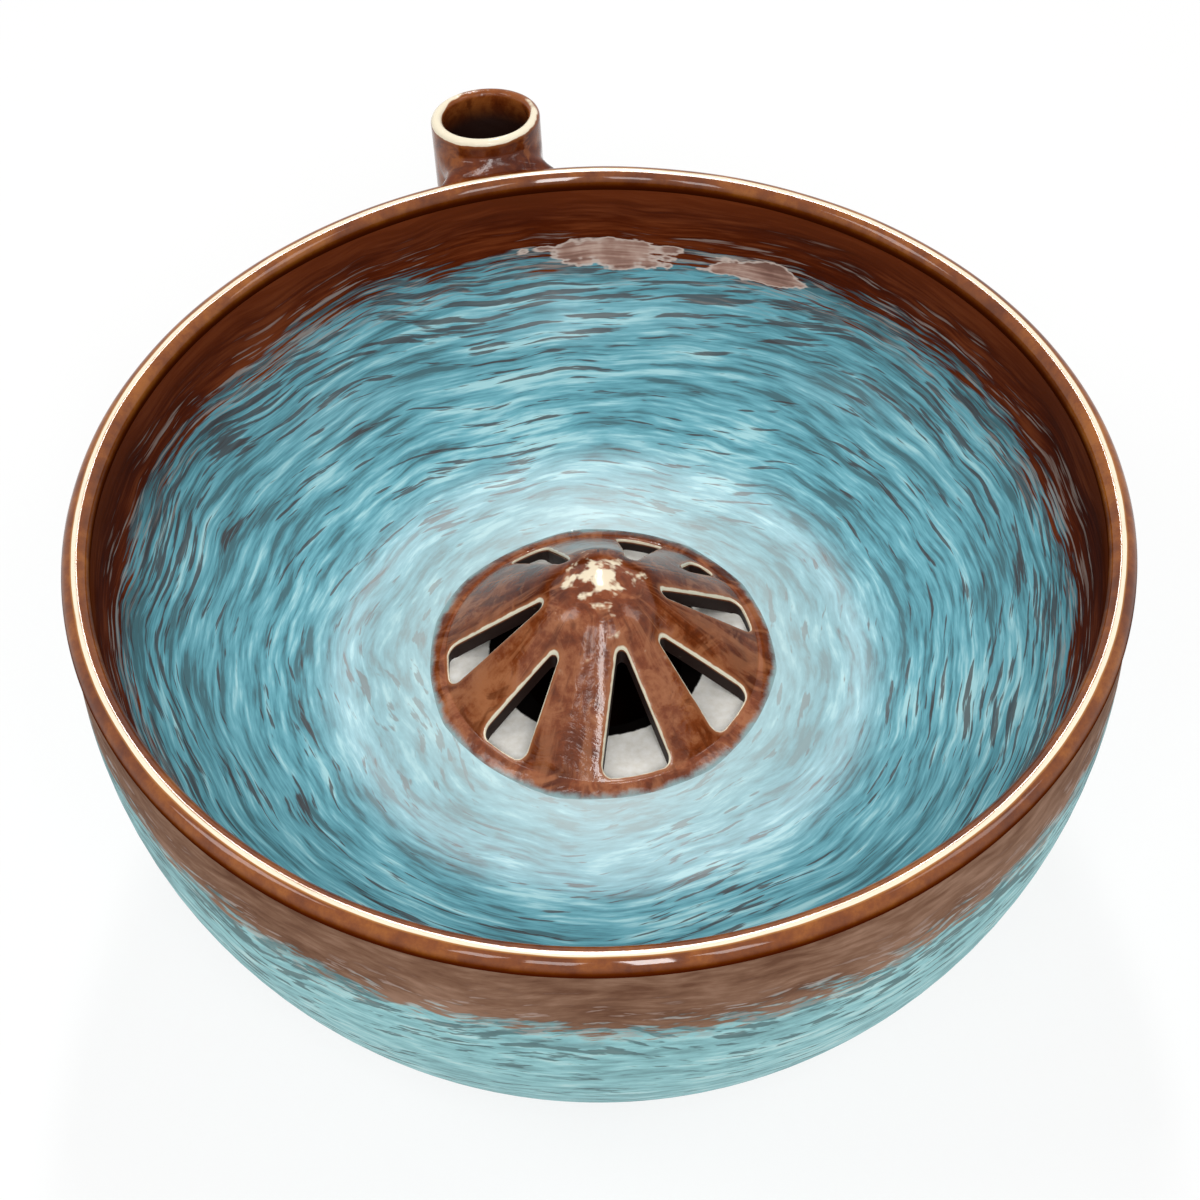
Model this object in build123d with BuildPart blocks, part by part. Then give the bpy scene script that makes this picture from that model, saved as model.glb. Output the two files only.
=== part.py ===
from build123d import *
import math
import os

# A stoneware berry colander: an outer bowl catches the rinse water, an inner basin holds the fruit above it,
# a pierced dome drains the basin, and a short spout at the back of the lip empties the space between.
# Millimetres. The origin is on the table at the middle of the foot, +Z is up and +Y points at the spout.

# Rolled lip
lip_diameter = 160.0
lip_height = 78.0
lip_thickness = 4.2
lip_flat_drop = 1.1

# Outer bowl, whose wall is one arc from the rim to the turned foot
belly_radius = 80.1
belly_drop = 16.0
rim_inset = 0.93
base_thickness = 5.5
foot_diameter = 96.0
foot_width = 6.5
foot_height = 4.0
foot_recess = 3.0
foot_cove = 2.5
foot_ease = 0.8

# Seam where the basin's rim stands inside the outer bowl's rim, near the middle of the lip
seam_inset = 0.2
seam_depth = 11.0
seam_diameter = lip_diameter - lip_thickness - 2 * seam_inset

# Inner basin
basin_rim_wall = 1.6
basin_rim_straight = 4.0
basin_depth = 37.0
basin_flat_diameter = 72.0
basin_floor_thickness = 3.8
drain_hole_diameter = 26.0

# Drain dome, seated in a shallow rebate of the basin's floor
dome_diameter = 54.0
dome_height = 20.2
dome_wall = 3.0
dome_apex_radius = 14.0
dome_brim_width = 1.6
dome_brim_rise = 1.2
dome_brim_round = 0.9
rebate_depth = 1.2
rebate_clearance = 0.2

# Hand-cut wedge slots: bearing and distance of the tip, then first and last bearing of the wide end
slot_end_margin = 2.3
slot_tip_radius = 0.9
slot_corner_radius = 1.4
hand_cut_slots = (
    (31.0, 19.5, 31.5, 34.5),
    (42.0, 8.8, 56.5, 67.5),
    (119.0, 8.8, 103.5, 112.5),
    (177.5, 10.1, 167.5, 179.5),
    (222.0, 12.9, 211.5, 224.5),
    (275.0, 11.4, 261.5, 280.5),
    (311.5, 12.6, 308.5, 324.5),
    (353.0, 10.7, 359.5, 369.5),
)

# Spout, a tube that leaves the wall and bends up past the lip
spout_diameter = 19.0
spout_bore = 15.0
bore_clearance = 0.4
spout_rise = 3.6
spout_lean = 8.0
spout_run = 24.0
spout_bend_radius = 20.0
spout_bend = 60.0
spout_tail = 16.0
spout_mouth_round = 0.85

# Saddle, the clay between spout and lip
saddle_fillet = 5.0
saddle_rise = 0.8

# Heights and radii that follow from the sizes above
lip_outer = lip_diameter / 2
lip_radius = lip_outer - lip_thickness / 2
lip_z = lip_height - lip_thickness / 2
rim_z = lip_z - lip_flat_drop
rim_outer = lip_outer - rim_inset
belly_z = lip_height - belly_drop
belly_centre = rim_outer - math.sqrt(belly_radius**2 - (rim_z - belly_z) ** 2)
seam_radius = seam_diameter / 2
seam_z = rim_z - seam_depth
chamber_z = foot_recess + base_thickness
floor_z = lip_height - basin_depth
seat_z = floor_z - rebate_depth
basin_under_z = floor_z - basin_floor_thickness
basin_flat_radius = basin_flat_diameter / 2
basin_rim_radius = seam_radius - basin_rim_wall
basin_curve_z = rim_z - basin_rim_straight
foot_outer = foot_diameter / 2
foot_inner = foot_outer - foot_width
dome_radius = dome_diameter / 2
apex_z = floor_z + dome_height
brim_z = floor_z + dome_brim_rise
slot_end = dome_radius - slot_end_margin - slot_corner_radius
mouth_z = lip_height + spout_rise
saddle_z = lip_height + saddle_rise
spout_radius = spout_diameter / 2
lean = math.radians(spout_lean)
bore_side = spout_bore / 2 / math.cos(lean) + bore_clearance
spout_reach = lip_outer + bore_side + (mouth_z - belly_z) * math.tan(lean)


def wall_point(radius, centre_z, z):
    """A point at height z on a wall's arc, whose centre is belly_centre from the bowl's axis."""
    return (belly_centre + math.sqrt(radius**2 - (z - centre_z) ** 2), z)


def wall_arc(radius, centre_z, low_z, high_z):
    """The part of a wall's arc between two heights."""
    heights = (low_z, (low_z + high_z) / 2, high_z)
    return ThreePointArc(*[wall_point(radius, centre_z, z) for z in heights])


# Outer bowl without its spout hole: foot, belly, rim and the catch chamber inside
with BuildPart() as outer_bowl:
    with BuildSketch(Plane.XZ):
        with BuildLine():
            foot = Polyline(
                (0, foot_recess),
                (foot_inner, foot_recess),
                (foot_inner, foot_ease),
                (foot_inner + foot_ease, 0),
                (foot_outer - foot_ease, 0),
                (foot_outer, foot_ease),
                (foot_outer, foot_height - foot_cove),
            )
            cove = JernArc(foot @ 1, (0, 1), foot_cove, -90)
            belly = wall_arc(belly_radius, belly_z, foot_height, rim_z)
            Line(cove @ 1, belly @ 0)
            Polyline(belly @ 1, (seam_radius, rim_z), (seam_radius, seam_z))
            chamber = wall_arc(seam_radius - belly_centre, seam_z, chamber_z, seam_z)
            Polyline(chamber @ 0, (0, chamber_z), (0, foot_recess))
        make_face()
    revolve(axis=Axis.Z)

# Inner basin: an upright rim that curves into a flat floor with a rebated drain hole
with BuildPart() as inner_basin:
    with BuildSketch(Plane.XZ):
        with BuildLine():
            hollow = EllipticalCenterArc(
                (basin_flat_radius, basin_curve_z),
                basin_rim_radius - basin_flat_radius,
                basin_curve_z - floor_z,
                start_angle=270,
                arc_size=90,
            )
            underside = EllipticalCenterArc(
                (basin_flat_radius, seam_z),
                seam_radius - basin_flat_radius,
                seam_z - basin_under_z,
                start_angle=270,
                arc_size=90,
            )
            rebate_radius = dome_radius + rebate_clearance
            drain_radius = drain_hole_diameter / 2
            Polyline(hollow @ 1, (basin_rim_radius, rim_z), (seam_radius, rim_z), underside @ 1)
            Polyline(
                hollow @ 0,
                (rebate_radius, floor_z),
                (rebate_radius, seat_z),
                (drain_radius, seat_z),
                (drain_radius, basin_under_z),
                underside @ 0,
            )
        make_face()
    revolve(axis=Axis.Z)

# Rolled lip: a round bead flattened underneath where it sits on both rims
with BuildPart() as lip_roll:
    with BuildSketch(Plane.XZ):
        with Locations((lip_radius, lip_z)):
            Circle(lip_thickness / 2)
        with Locations((lip_radius, rim_z)):
            Rectangle(
                lip_thickness, lip_thickness, align=(Align.CENTER, Align.MAX), mode=Mode.SUBTRACT
            )
    revolve(axis=Axis.Z)

# Drain dome: a cone with a round apex, on a brim that drops into the basin's rebate
apex_centre_z = apex_z - dome_apex_radius
brim_inner = dome_radius - dome_brim_width
brim_span = math.hypot(brim_inner, brim_z - apex_centre_z)
brim_angle = math.atan2(brim_z - apex_centre_z, brim_inner)
flank_angle = brim_angle + math.acos(dome_apex_radius / brim_span)
inner_apex_radius = dome_apex_radius - dome_wall


def apex_point(radius, angle):
    """A point on a circle about the centre of the dome's round apex."""
    return (radius * math.cos(angle), apex_centre_z + radius * math.sin(angle))


with BuildPart() as drain_dome:
    with BuildSketch(Plane.XZ):
        with BuildLine():
            half_way = (flank_angle + math.pi / 2) / 2
            cap_angles = (flank_angle, half_way, math.pi / 2)
            cap = ThreePointArc(*[apex_point(dome_apex_radius, angle) for angle in cap_angles])
            inner_cap = ThreePointArc(*[apex_point(inner_apex_radius, angle) for angle in cap_angles])
            inner_start = inner_cap @ 0
            inner_foot = inner_start.X + (inner_start.Y - seat_z) * math.tan(flank_angle)
            brim_edge = Line((dome_radius, seat_z), (dome_radius, brim_z - dome_brim_round))
            brim_corner = JernArc(brim_edge @ 1, (0, 1), dome_brim_round, 90)
            Polyline(brim_corner @ 1, (brim_inner, brim_z), cap @ 0)
            Line(cap @ 1, inner_cap @ 1)
            Polyline(inner_start, (inner_foot, seat_z), (dome_radius, seat_z))
        make_face()
    revolve(axis=Axis.Z)
    for tip_bearing, tip_distance, first_bearing, last_bearing in hand_cut_slots:
        with BuildSketch(Plane.XY.offset(seat_z)):
            with PolarLocations(tip_distance, 1, tip_bearing):
                Circle(slot_tip_radius)
            end_range = last_bearing - first_bearing
            with PolarLocations(slot_end, 3, first_bearing, end_range, endpoint=True):
                Circle(slot_corner_radius)
            make_hull()
        extrude(amount=apex_z - seat_z, mode=Mode.SUBTRACT)

# Outside of bowl and lip as one solid, which the spout and its saddle are cut to
with BuildPart() as bowl_outline:
    with BuildSketch(Plane.XZ):
        with BuildLine():
            outside = wall_arc(belly_radius, belly_z, foot_height, rim_z)
            Polyline(outside @ 1, (0, rim_z), (0, foot_height), outside @ 0)
        make_face()
    revolve(axis=Axis.Z)
    add(lip_roll.part)

# Spout line, from its mouth down past the lip and in through the wall
with BuildLine(Plane.YZ) as spout_line:
    upright = PolarLine((spout_reach, mouth_z), spout_run, -90 - spout_lean)
    elbow = JernArc(upright @ 1, upright % 1, spout_bend_radius, -spout_bend)
    PolarLine(elbow @ 1, spout_tail, -90 - spout_lean - spout_bend)
mouth_plane = Plane(
    origin=(0, spout_reach, mouth_z),
    x_dir=(1, 0, 0),
    z_dir=(0, -math.sin(lean), -math.cos(lean)),
)

with BuildPart() as spout_core:
    with BuildSketch(mouth_plane):
        Circle(spout_bore / 2)
    sweep(path=spout_line.line)

with BuildPart() as spout_outline:
    with BuildSketch(mouth_plane):
        Circle(spout_radius)
    sweep(path=spout_line.line)

# Spout tube, hollow, with a rounded mouth and a lower end cut to the bowl's side
with BuildPart() as spout_tube:
    add(spout_outline.part)
    add(spout_core.part, mode=Mode.SUBTRACT)
    mouth = spout_tube.faces().sort_by(Axis.Z)[-1]
    fillet(mouth.edges(), spout_mouth_round)
    add(bowl_outline.part, mode=Mode.SUBTRACT)

with outer_bowl:
    add(spout_core.part, mode=Mode.SUBTRACT)

# Clay pressed into the corners between spout and lip, hollowed by a fillet that touches both
saddle_y = spout_reach - (mouth_z - lip_z) * math.tan(lean)
lip_span = lip_outer + saddle_fillet
spout_span = spout_radius + saddle_fillet
fillet_y = (lip_span**2 - spout_span**2 + saddle_y**2) / (2 * saddle_y)
fillet_x = math.sqrt(lip_span**2 - fillet_y**2)
lip_touch = (fillet_x * lip_outer / lip_span, fillet_y * lip_outer / lip_span)
spout_share = spout_radius / spout_span
spout_touch = (fillet_x * spout_share, saddle_y + (fillet_y - saddle_y) * spout_share)

with BuildPart() as spout_saddle:
    with BuildSketch(Plane.XY.offset(belly_z)):
        with BuildLine():
            Polyline((0, 0), lip_touch, spout_touch, (0, spout_touch[1]), close=True)
        make_face()
        with Locations((fillet_x, fillet_y)):
            Circle(saddle_fillet, mode=Mode.SUBTRACT)
        mirror(about=Plane.YZ)
        Circle(lip_radius, mode=Mode.SUBTRACT)
    extrude(amount=saddle_z - belly_z)
    with BuildSketch(Plane.XZ.offset(-saddle_y)):
        with Locations((fillet_x, saddle_z), (-fillet_x, saddle_z)):
            Circle(saddle_fillet)
    extrude(amount=saddle_y, mode=Mode.SUBTRACT)
    add(spout_outline.part, mode=Mode.SUBTRACT)
    add(bowl_outline.part, mode=Mode.SUBTRACT)

pieces = {
    "outer_bowl": outer_bowl,
    "inner_basin": inner_basin,
    "lip_roll": lip_roll,
    "drain_dome": drain_dome,
    "spout_tube": spout_tube,
    "spout_saddle": spout_saddle,
}
os.makedirs("parts", exist_ok=True)
for label, piece in pieces.items():
    piece.part.label = label
    export_step(piece.part, f"parts/{label}.step")
    print(label, "solids", len(piece.part.solids()), "volume", round(piece.part.volume))
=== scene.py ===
# %% [markdown]
# # A glazed berry colander
#
# The real object is a thrown stoneware bowl: an outer bowl, a raised basin inside it, a rolled lip, a pierced
# dome over the drain hole and a short spout behind the lip. Its solids come from the frame at their true size
# and place. This lesson gives them their glaze, and rebuilds the lip, dome and spout as soft hand-made
# surfaces. The first cell loads the frame.

# %% Load the frame
import math

import bmesh
import bpy
import numpy as np
from mathutils import Matrix, Vector


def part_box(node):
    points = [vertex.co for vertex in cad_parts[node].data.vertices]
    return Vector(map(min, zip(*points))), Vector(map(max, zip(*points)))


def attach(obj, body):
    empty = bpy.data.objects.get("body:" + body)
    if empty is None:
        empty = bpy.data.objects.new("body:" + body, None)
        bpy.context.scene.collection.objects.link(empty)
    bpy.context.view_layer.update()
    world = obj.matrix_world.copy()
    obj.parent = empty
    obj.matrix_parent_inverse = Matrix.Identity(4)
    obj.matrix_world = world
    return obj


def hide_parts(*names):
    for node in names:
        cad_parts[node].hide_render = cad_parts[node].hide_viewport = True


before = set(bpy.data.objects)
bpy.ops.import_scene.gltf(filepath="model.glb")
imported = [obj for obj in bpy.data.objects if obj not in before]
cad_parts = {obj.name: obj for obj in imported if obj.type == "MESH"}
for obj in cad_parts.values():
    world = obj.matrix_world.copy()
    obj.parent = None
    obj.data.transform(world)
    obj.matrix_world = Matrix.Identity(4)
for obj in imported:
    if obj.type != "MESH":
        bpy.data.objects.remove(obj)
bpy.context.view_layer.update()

# %% [markdown]
# ## Sizes
#
# Every size below is in metres. Most are read from the boxes of the solids, so the looks follow the solids
# when the bowl grows. The few that a box can't tell, such as the thickness of the lip, are named here once.

# %% Read the sizes
MM = 0.001
lip_low, lip_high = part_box("lip_roll")
dome_low, dome_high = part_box("drain_dome")
_, bowl_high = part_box("outer_bowl")
_, spout_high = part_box("spout_tube")

bead_radius = 2.1 * MM
lip_radius = lip_high.x - bead_radius
lip_z = lip_high.z - bead_radius
rim_z = lip_low.z

belly_radius = bowl_high.x
belly_z = lip_high.z - 16 * MM
wall_middle_radius = belly_radius - 1.3 * MM

seat_z = dome_low.z
floor_z = seat_z + 1.2 * MM
dome_radius = dome_high.x
apex_z = dome_high.z
print("lip radius", round(lip_radius / MM, 1), "floor height", round(floor_z / MM, 1), "mm")

# %% [markdown]
# ## Camera
#
# The photograph looks down at the bowl from in front, a little to the left of the line through the spout. A
# camera could be posed by hand until it fits. It is steadier to give its bearing, height angle, distance and
# roll, and to work the camera's three axes out from them.

# %% Place the camera
view_bearing = math.radians(-11.2)
view_height = math.radians(49.87)
view_roll = math.radians(-1.58)
view_distance = 360 * MM
aim = Vector((0, 0, lip_z - 20.3 * MM))
focal_share = 1.91


def sight_line(bearing, height):
    """Unit vector from the bowl towards a viewer: bearing 0 is in front, on -Y, and height is above level."""
    level = math.cos(height)
    return Vector((math.sin(bearing) * level, -math.cos(bearing) * level, math.sin(height)))


def place_camera():
    """The camera looks down the sight line, turned about it by the roll."""
    back = sight_line(view_bearing, view_height)
    level_right = Vector((0, 0, 1)).cross(back).normalized()
    level_up = back.cross(level_right)
    right = level_right * math.cos(view_roll) + level_up * math.sin(view_roll)
    up = level_up * math.cos(view_roll) - level_right * math.sin(view_roll)
    camera = bpy.data.objects.new("camera", bpy.data.cameras.new("camera"))
    axes = Matrix((right, up, back)).transposed().to_4x4()
    camera.matrix_world = Matrix.Translation(aim + back * view_distance) @ axes
    camera.data.lens = camera.data.sensor_width * focal_share
    camera.data.clip_start = 10 * MM
    bpy.context.scene.collection.objects.link(camera)
    bpy.context.scene.camera = camera
    return camera


camera = place_camera()
print("camera at", [round(c / MM) for c in camera.location], "mm")

# %% [markdown]
# ## Shader maths as plain expressions
#
# A finish is a small program made of nodes. Linking them by hand hides the sum that they work out, so one
# class wraps a socket and lets Python's own operators add the Math nodes. Any other node comes from one
# method, which sets the node up first and then fills or links its sockets.

# %% A socket that can be calculated with
class Wire:
    """An output socket of a material's nodes. Arithmetic on it adds Math nodes, and node adds any other."""

    def __init__(self, tree, socket):
        self.tree = tree
        self.socket = socket

    def node(self, kind, settings=None, inputs=None, output=0):
        """Add a node, apply its settings, a ramp's stops among them, fill its inputs and give one output."""
        made = self.tree.nodes.new(kind)
        for name, value in (settings or {}).items():
            if name == "stops":
                fill_ramp(made.color_ramp, value)
            else:
                setattr(made, name, value)
        for key, value in (inputs or {}).items():
            if isinstance(value, Wire):
                self.tree.links.new(value.socket, made.inputs[key])
            else:
                made.inputs[key].default_value = value
        return Wire(self.tree, made.outputs[output])

    def other(self, output):
        """Another output of the same node."""
        return Wire(self.tree, self.socket.node.outputs[output])

    def math(self, operation, *values):
        return self.node("ShaderNodeMath", {"operation": operation}, dict(enumerate(values)))

    def __add__(self, value):
        return self.math("ADD", self, value)

    def __radd__(self, value):
        return self.math("ADD", value, self)

    def __sub__(self, value):
        return self.math("SUBTRACT", self, value)

    def __rsub__(self, value):
        return self.math("SUBTRACT", value, self)

    def __mul__(self, value):
        return self.math("MULTIPLY", self, value)

    def __rmul__(self, value):
        return self.math("MULTIPLY", value, self)

    def __truediv__(self, value):
        return self.math("DIVIDE", self, value)

    def __rtruediv__(self, value):
        return self.math("DIVIDE", value, self)

    def __pow__(self, value):
        return self.math("POWER", self, value)


def fill_ramp(ramp, stops):
    """Give a colour ramp its stops, as pairs of a place from 0 to 1 and a colour."""
    while len(ramp.elements) < len(stops):
        ramp.elements.new(0.5)
    for element, (place, colour) in zip(ramp.elements, stops):
        element.position = place
        element.color = colour


def glaze_tone(red, green, blue):
    """A colour as seen on screen, 0 to 255, turned into the linear light that shaders count in."""
    shares = np.array([red, green, blue]) / 255
    linear = np.where(shares > 0.04045, ((shares + 0.055) / 1.055) ** 2.4, shares / 12.92)
    return (*linear.tolist(), 1.0)


def glaze_tones(*colours):
    """Several colours as seen on screen, from dark to light."""
    return tuple(glaze_tone(*colour) for colour in colours)


def step(value, low, high):
    """0 below low, 1 above high and a soft S between, which works downwards too."""
    return value.node(
        "ShaderNodeMapRange",
        {"interpolation_type": "SMOOTHSTEP"},
        {"Value": value, "From Min": low, "From Max": high},
    )


def blend(share, first, second):
    """The first colour where share is 0 and the second where it is 1."""
    return share.node("ShaderNodeMix", {"data_type": "RGBA"}, {0: share, 6: first, 7: second}, 2)


def ramp(value, *stops):
    return value.node("ShaderNodeValToRGB", {"stops": stops}, {"Fac": value})


def vector(x, y, z):
    """A vector from three values, of which x is a wire."""
    return x.node("ShaderNodeCombineXYZ", {}, {"X": x, "Y": y, "Z": z})


def noise(place, scale=1.0, detail=3.0, roughness=0.55, swirl=0.0):
    """Cloudy noise from 0 to 1 at a place, stirred by swirl."""
    inputs = {"Vector": place, "Scale": scale, "Detail": detail, "Roughness": roughness, "Distortion": swirl}
    return place.node("ShaderNodeTexNoise", {}, inputs)


def new_finish(name):
    """An empty material with its shader, and a wire that gives the place on the object in metres."""
    material = bpy.data.materials.new(name)
    material.use_nodes = True
    tree = material.node_tree
    shader = tree.nodes["Principled BSDF"]
    place = Wire(tree, tree.nodes.new("ShaderNodeTexCoord").outputs["Object"])
    return material, shader, place


def finish_shader(shader, colour, roughness, height, depth):
    """Link a colour, a roughness and a height whose full range is depth, in metres, into a glaze."""
    bump = height.node("ShaderNodeBump", {}, {"Height": height, "Distance": depth, "Strength": 1.0})
    for name, wire in (("Base Color", colour), ("Roughness", roughness), ("Normal", bump)):
        wire.tree.links.new(wire.socket, shader.inputs[name])
    shader.inputs["IOR"].default_value = 1.52


def clear_coat(shader, weight, roughness):
    """Take the shine off the body of a glaze and give it a clear coat instead, whose weight may vary."""
    shader.inputs["Specular IOR Level"].default_value = 0.0
    shader.inputs["Coat Roughness"].default_value = roughness
    weight.tree.links.new(weight.socket, shader.inputs["Coat Weight"])


print("shader helpers ready")

# %% [markdown]
# ## Floor and light
#
# The photograph is a studio shot on white. A white floor could be lit until it burns out, but that would
# bleach the bowl too. Here the floor shows the camera mostly plain white and a little of its own shading,
# so it keeps the bowl's shadow. A glossy lip mirrors its lamps as dashes, so the lamps are tall strips: one
# behind the bowl, as the mirror image of the viewer, one beside the viewer, and three weaker ones that add
# to the row of dashes. Two broad ones at the ends reach the inner side walls, which the others only graze.

# %% Make the studio
floor_size = 3.0
shadow_share = 0.22
shadow_fade = (0.6, 0.25)
world_fill = 0.32
# Degrees of bearing from the viewer and of height, metres of distance, width and length, and watts.
lamps = {
    "back_strip": (180, 50, 0.8, 0.055, 0.36, 2.4),
    "front_strip": (8, 48, 0.9, 0.1, 0.5, 2.9),
    "side_strip_-26": (-26, 48, 0.9, 0.1, 0.3, 0.62),
    "side_strip_-10": (-10, 48, 0.9, 0.1, 0.3, 0.62),
    "side_strip_25": (25, 48, 0.9, 0.1, 0.3, 0.62),
    "end_strip_-80": (-80, 48, 0.9, 0.2, 0.4, 1.3),
    "end_strip_80": (80, 48, 0.9, 0.2, 0.4, 0.8),
}


def seen_or_mirrored(ray):
    """1 for what the camera sees directly, in a mirror or through glass, and 0 for what only lights."""
    mirrored = ray.math("MAXIMUM", ray.other("Is Glossy Ray"), ray.other("Is Transmission Ray"))
    return ray.math("MAXIMUM", ray, mirrored)


def make_floor():
    """A pale disc under the bowl that a viewer from below looks through."""
    mesh = bpy.data.meshes.new("floor")
    turn = np.linspace(0, 2 * np.pi, 96, endpoint=False)
    ring = np.stack([np.cos(turn), np.sin(turn), np.zeros_like(turn)], -1) * floor_size
    mesh.from_pydata(ring.tolist(), [], [list(range(len(ring)))])
    material = bpy.data.materials.new("studio_floor")
    material.use_nodes = True
    tree = material.node_tree
    tree.nodes.clear()
    ray = Wire(tree, tree.nodes.new("ShaderNodeLightPath").outputs["Is Camera Ray"])
    seen = seen_or_mirrored(ray)
    matte = ray.node("ShaderNodeBsdfDiffuse", {}, {"Color": (0.93, 0.93, 0.92, 1)})
    white = ray.node("ShaderNodeEmission", {}, {"Color": (1, 1, 1, 1), "Strength": 1.0})
    place = ray.node("ShaderNodeTexCoord", {}, {}, "Object")
    away = place.node("ShaderNodeVectorMath", {"operation": "LENGTH"}, {0: place}, "Value")
    shaded = step(away, *shadow_fade) * shadow_share
    lit = ray.node("ShaderNodeMixShader", {}, {0: seen * (1 - shaded), 1: matte, 2: white})
    clear = ray.node("ShaderNodeBsdfTransparent")
    under = ray.node("ShaderNodeNewGeometry", {}, {}, "Backfacing")
    shown = ray.node("ShaderNodeMixShader", {}, {0: under, 1: lit, 2: clear})
    out = tree.nodes.new("ShaderNodeOutputMaterial")
    tree.links.new(shown.socket, out.inputs["Surface"])
    mesh.materials.append(material)
    floor = bpy.data.objects.new("studio_floor", mesh)
    bpy.context.scene.collection.objects.link(floor)


def make_world(fill):
    """White where it is seen or mirrored, and a softer grey where it only lights."""
    world = bpy.data.worlds.new("studio")
    bpy.context.scene.world = world
    world.use_nodes = True
    tree = world.node_tree
    ray = Wire(tree, tree.nodes.new("ShaderNodeLightPath").outputs["Is Camera Ray"])
    strength = fill + seen_or_mirrored(ray) * (1 - fill)
    background = tree.nodes["Background"]
    background.inputs["Color"].default_value = (1, 1, 1, 1)
    tree.links.new(strength.socket, background.inputs["Strength"])


def strip_lamp(name, bearing, height, distance, width, tall, power):
    """An upright lamp that faces the bowl, at a bearing from the viewer's and a height, both in degrees."""
    lamp = bpy.data.lights.new(name, "AREA")
    lamp.shape = "RECTANGLE"
    lamp.size = width
    lamp.size_y = tall
    lamp.energy = power
    away = sight_line(view_bearing + math.radians(bearing), math.radians(height))
    placed = bpy.data.objects.new(name, lamp)
    placed.location = aim + away * distance
    placed.rotation_mode = "QUATERNION"
    placed.rotation_quaternion = away.to_track_quat("Z", "Y")
    bpy.context.scene.collection.objects.link(placed)


bpy.context.scene.view_settings.view_transform = "Standard"
make_floor()
make_world(world_fill)
for name, numbers in lamps.items():
    strip_lamp(name, *numbers)
print("studio ready, lamps:", len(lamps))

# %% [markdown]
# ## Surfaces from arrays
#
# Each new piece is a grid of points: one parameter runs along a profile, the other round the axis or along
# the spout. A piece may need several grids that share edges, so the helper below joins them, welds the
# shared points and turns every face outwards. It reports edges that are not shared by two faces, because a
# closed pot has none.

# %% Weld grids into a piece
weld_distance = 0.002 * MM
hard_corner = math.radians(50)


def grid_faces(rows, columns, closed_rows, closed_columns):
    """Four-sided faces between neighbouring points of a grid, whose points are numbered row by row."""
    row = np.arange(rows if closed_rows else rows - 1)[:, None]
    column = np.arange(columns if closed_columns else columns - 1)[None, :]
    below = (row + 1) % rows * columns
    beside = (column + 1) % columns
    here = row * columns
    return np.stack([here + column, here + beside, below + beside, below + column], -1).reshape(-1, 4)


def keep_values(mesh, label, values):
    """Store one value a point on a mesh."""
    mesh.attributes.new(label, "FLOAT", "POINT").data.foreach_set("value", values.ravel().astype(np.float32))


def weld_piece(name, patches, **values):
    """One smooth closed mesh from patches, each a grid of points and whether its rows and columns close.
    Named values, one a point, are stored on the mesh for its finish to read."""
    points = np.concatenate([grid.reshape(-1, 3) for grid, _, _ in patches])
    starts = np.cumsum([0] + [grid.shape[0] * grid.shape[1] for grid, _, _ in patches])
    faces = []
    for (grid, rows, columns), start in zip(patches, starts):
        faces.append(grid_faces(*grid.shape[:2], rows, columns) + start)
    mesh = bpy.data.meshes.new(name)
    mesh.from_pydata(points.tolist(), [], np.concatenate(faces).tolist())
    for label, value in values.items():
        keep_values(mesh, label, value)
    work = bmesh.new()
    work.from_mesh(mesh)
    bmesh.ops.remove_doubles(work, verts=work.verts, dist=weld_distance)
    bmesh.ops.dissolve_degenerate(work, edges=work.edges, dist=weld_distance / 2)
    bmesh.ops.recalc_face_normals(work, faces=work.faces)
    loose = sum(len(edge.link_faces) != 2 for edge in work.edges)
    work.to_mesh(mesh)
    work.free()
    mesh.shade_smooth()
    mesh.set_sharp_from_angle(angle=hard_corner)
    piece = bpy.data.objects.new(name, mesh)
    bpy.context.scene.collection.objects.link(piece)
    print(name, "faces", len(mesh.polygons), "edges not shared by two faces", loose)
    return piece


def mesh_points(mesh):
    """All points of a mesh as an array with one row a point."""
    flat = np.empty(len(mesh.vertices) * 3)
    mesh.vertices.foreach_get("co", flat)
    return flat.reshape(-1, 3)


def ease(value, low, high):
    """0 below low, 1 above high and a soft S between."""
    share = np.clip((value - low) / (high - low), 0, 1)
    return share**2 * (3 - 2 * share)


def hand_wobble(turn, *waves):
    """Sum of whole-numbered sine waves round the bowl, each given as count, size and start, so it closes."""
    return sum(size * np.sin(count * turn + start) for count, size, start in waves)


print("a closed grid of 4 by 3 points has", len(grid_faces(4, 3, True, True)), "faces")

# %% [markdown]
# ## Rolled lip
#
# The potter rolls the rim between finger and thumb, so its height and thickness waver by a tenth of a
# millimetre. A torus from a menu would be too even. This one carries a circle round the bowl, flattens it
# where it sits on the rims, and adds slow waves that fade towards the rims, so that the seat stays true.

# %% Make the lip
lip_sink = 0.05 * MM


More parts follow.
